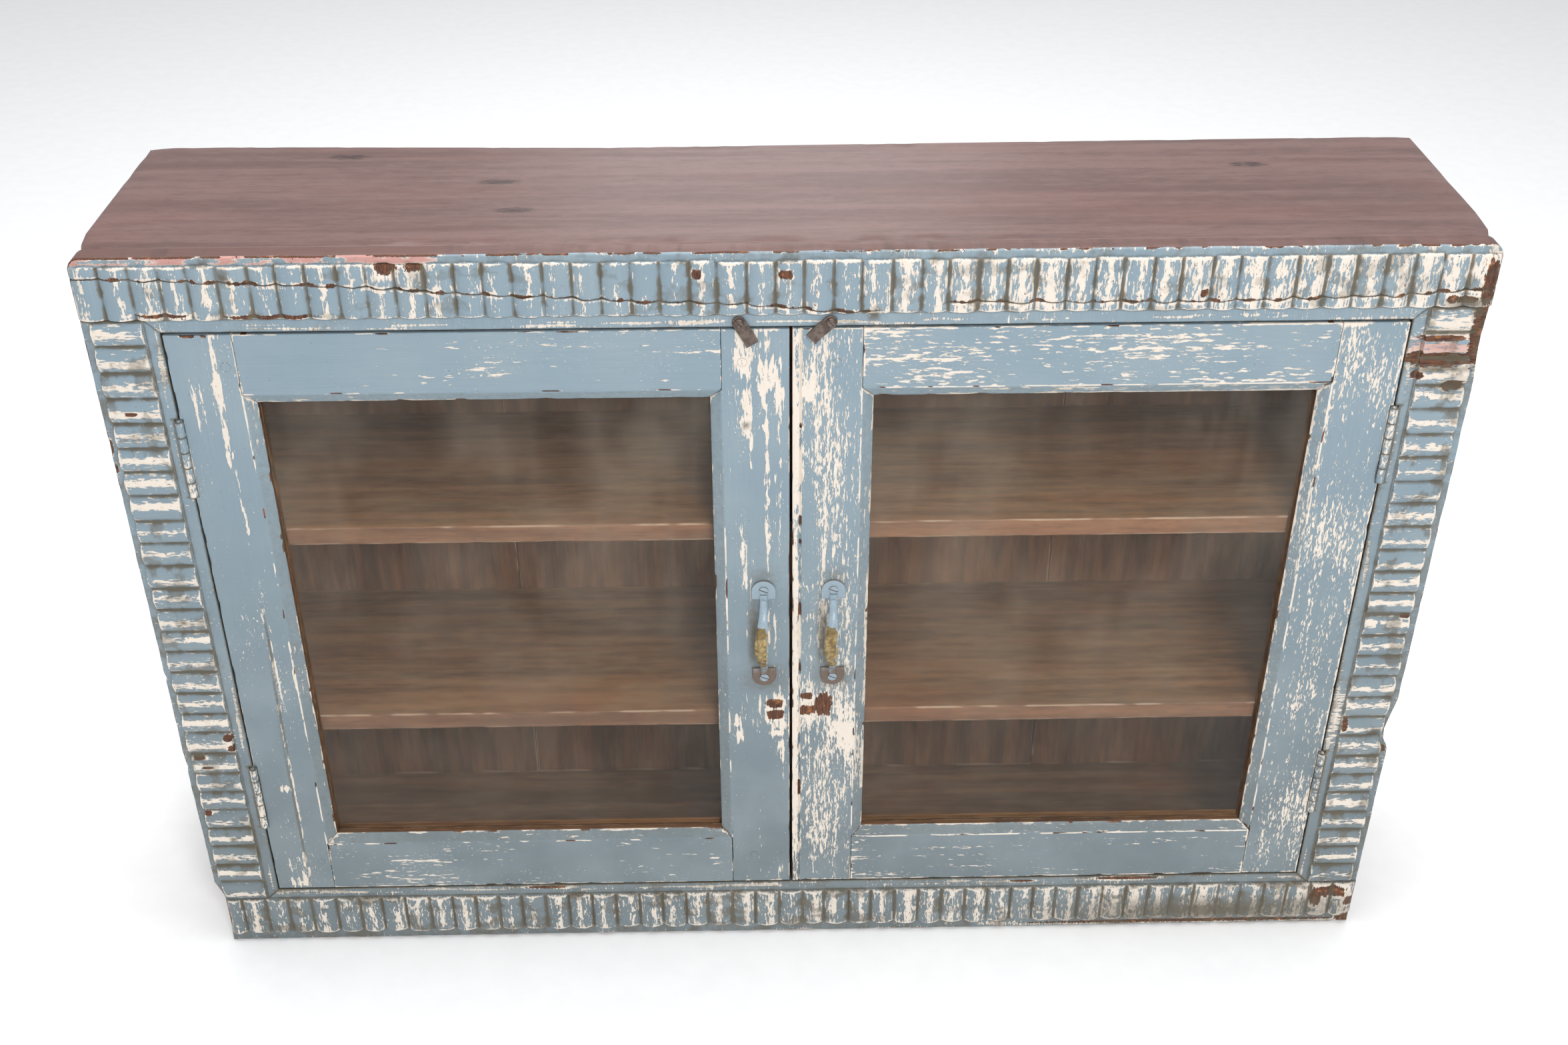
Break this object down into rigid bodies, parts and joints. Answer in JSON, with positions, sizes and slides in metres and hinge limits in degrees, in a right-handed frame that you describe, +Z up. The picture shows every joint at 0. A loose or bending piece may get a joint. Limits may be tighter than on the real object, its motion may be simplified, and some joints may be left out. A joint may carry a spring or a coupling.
{
  "type": "china cabinet",
  "caption": "Low shallow painted wooden wall or tabletop cabinet with a reeded face frame and a pair of hinged glazed doors in front of shelves.",
  "frame": {"origin": "centre of the flat underside of the carcass", "axes": "+Z up, -Y towards the front (the doors face -Y), +X to the right of someone facing the doors"},
  "size_m": [1.18, 0.2745, 0.775],
  "materials": {
    "painted_wood": "pale blue-grey paint, chipped to a cream undercoat and bare wood",
    "stained_wood": "reddish-brown stain under a thin satin finish",
    "bare_wood": "aged brown wood, dry and dusty",
    "glass": "clear window glass",
    "worn_brass": "old brass with remains of blue-grey paint",
    "painted_iron": "iron butt hinge painted over with the wood",
    "dark_iron": "dark worn iron strip"
  },
  "bodies": {
    "cabinet": {"top_board": "stained_wood", "bottom_board": "bare_wood", "side_board_left": "stained_wood", "side_board_right": "stained_wood", "back_board_1": "bare_wood", "back_board_2": "bare_wood", "back_board_3": "bare_wood", "back_board_4": "bare_wood", "shelf_upper": "bare_wood", "shelf_lower": "bare_wood", "shelf_upper_cleat_left": "bare_wood", "shelf_upper_cleat_right": "bare_wood", "shelf_lower_cleat_left": "bare_wood", "shelf_lower_cleat_right": "bare_wood", "frame_top_rail": "painted_wood", "frame_bottom_rail": "painted_wood", "frame_stile_left": "painted_wood", "frame_stile_right": "painted_wood", "hinge_left_upper_frame_leaf": "painted_iron", "hinge_left_upper_pin": "painted_iron", "hinge_left_lower_frame_leaf": "painted_iron", "hinge_left_lower_pin": "painted_iron", "hinge_right_upper_frame_leaf": "painted_iron", "hinge_right_upper_pin": "painted_iron", "hinge_right_lower_frame_leaf": "painted_iron", "hinge_right_lower_pin": "painted_iron", "turn_button_left_screw": "dark_iron", "turn_button_left_washer": "worn_brass", "turn_button_right_screw": "dark_iron", "turn_button_right_washer": "worn_brass"},
    "door_left": {"door_left_hinge_stile": "painted_wood", "door_left_meeting_stile": "painted_wood", "door_left_top_rail": "painted_wood", "door_left_bottom_rail": "painted_wood", "door_left_glass": "glass", "door_left_bead_hinge_side": "bare_wood", "door_left_bead_meeting_side": "bare_wood", "door_left_bead_bottom": "bare_wood", "door_left_bead_top": "bare_wood", "door_left_pull": "worn_brass", "door_left_pull_screw_upper": "worn_brass", "door_left_pull_screw_lower": "worn_brass", "hinge_left_upper_door_leaf": "painted_iron", "hinge_left_lower_door_leaf": "painted_iron"},
    "door_right": {"door_right_hinge_stile": "painted_wood", "door_right_meeting_stile": "painted_wood", "door_right_top_rail": "painted_wood", "door_right_bottom_rail": "painted_wood", "door_right_glass": "glass", "door_right_bead_hinge_side": "bare_wood", "door_right_bead_meeting_side": "bare_wood", "door_right_bead_bottom": "bare_wood", "door_right_bead_top": "bare_wood", "door_right_pull": "worn_brass", "door_right_pull_screw_upper": "worn_brass", "door_right_pull_screw_lower": "worn_brass", "hinge_right_upper_door_leaf": "painted_iron", "hinge_right_lower_door_leaf": "painted_iron"},
    "turn_button_left": {"turn_button_left_strip": "dark_iron"},
    "turn_button_right": {"turn_button_right_strip": "dark_iron"}
  },
  "joints": [
    {"name": "door_left_hinge", "type": "hinge", "parent": "cabinet", "child": "door_left", "pos_m": [-0.52525, -0.1235, 0.3885], "axis": [0, 0, -1], "range_deg": [0, 160]},
    {"name": "door_right_hinge", "type": "hinge", "parent": "cabinet", "child": "door_right", "pos_m": [0.52525, -0.1235, 0.3885], "axis": [0, 0, 1], "range_deg": [0, 160]},
    {"name": "turn_button_left_pivot", "type": "hinge", "parent": "cabinet", "child": "turn_button_left", "pos_m": [-0.043, -0.1235, 0.712], "axis": [0, 1, 0], "range_deg": [-60, 120]},
    {"name": "turn_button_right_pivot", "type": "hinge", "parent": "cabinet", "child": "turn_button_right", "pos_m": [0.034, -0.1235, 0.712], "axis": [0, 1, 0], "range_deg": [-137, 43]}
  ]
}
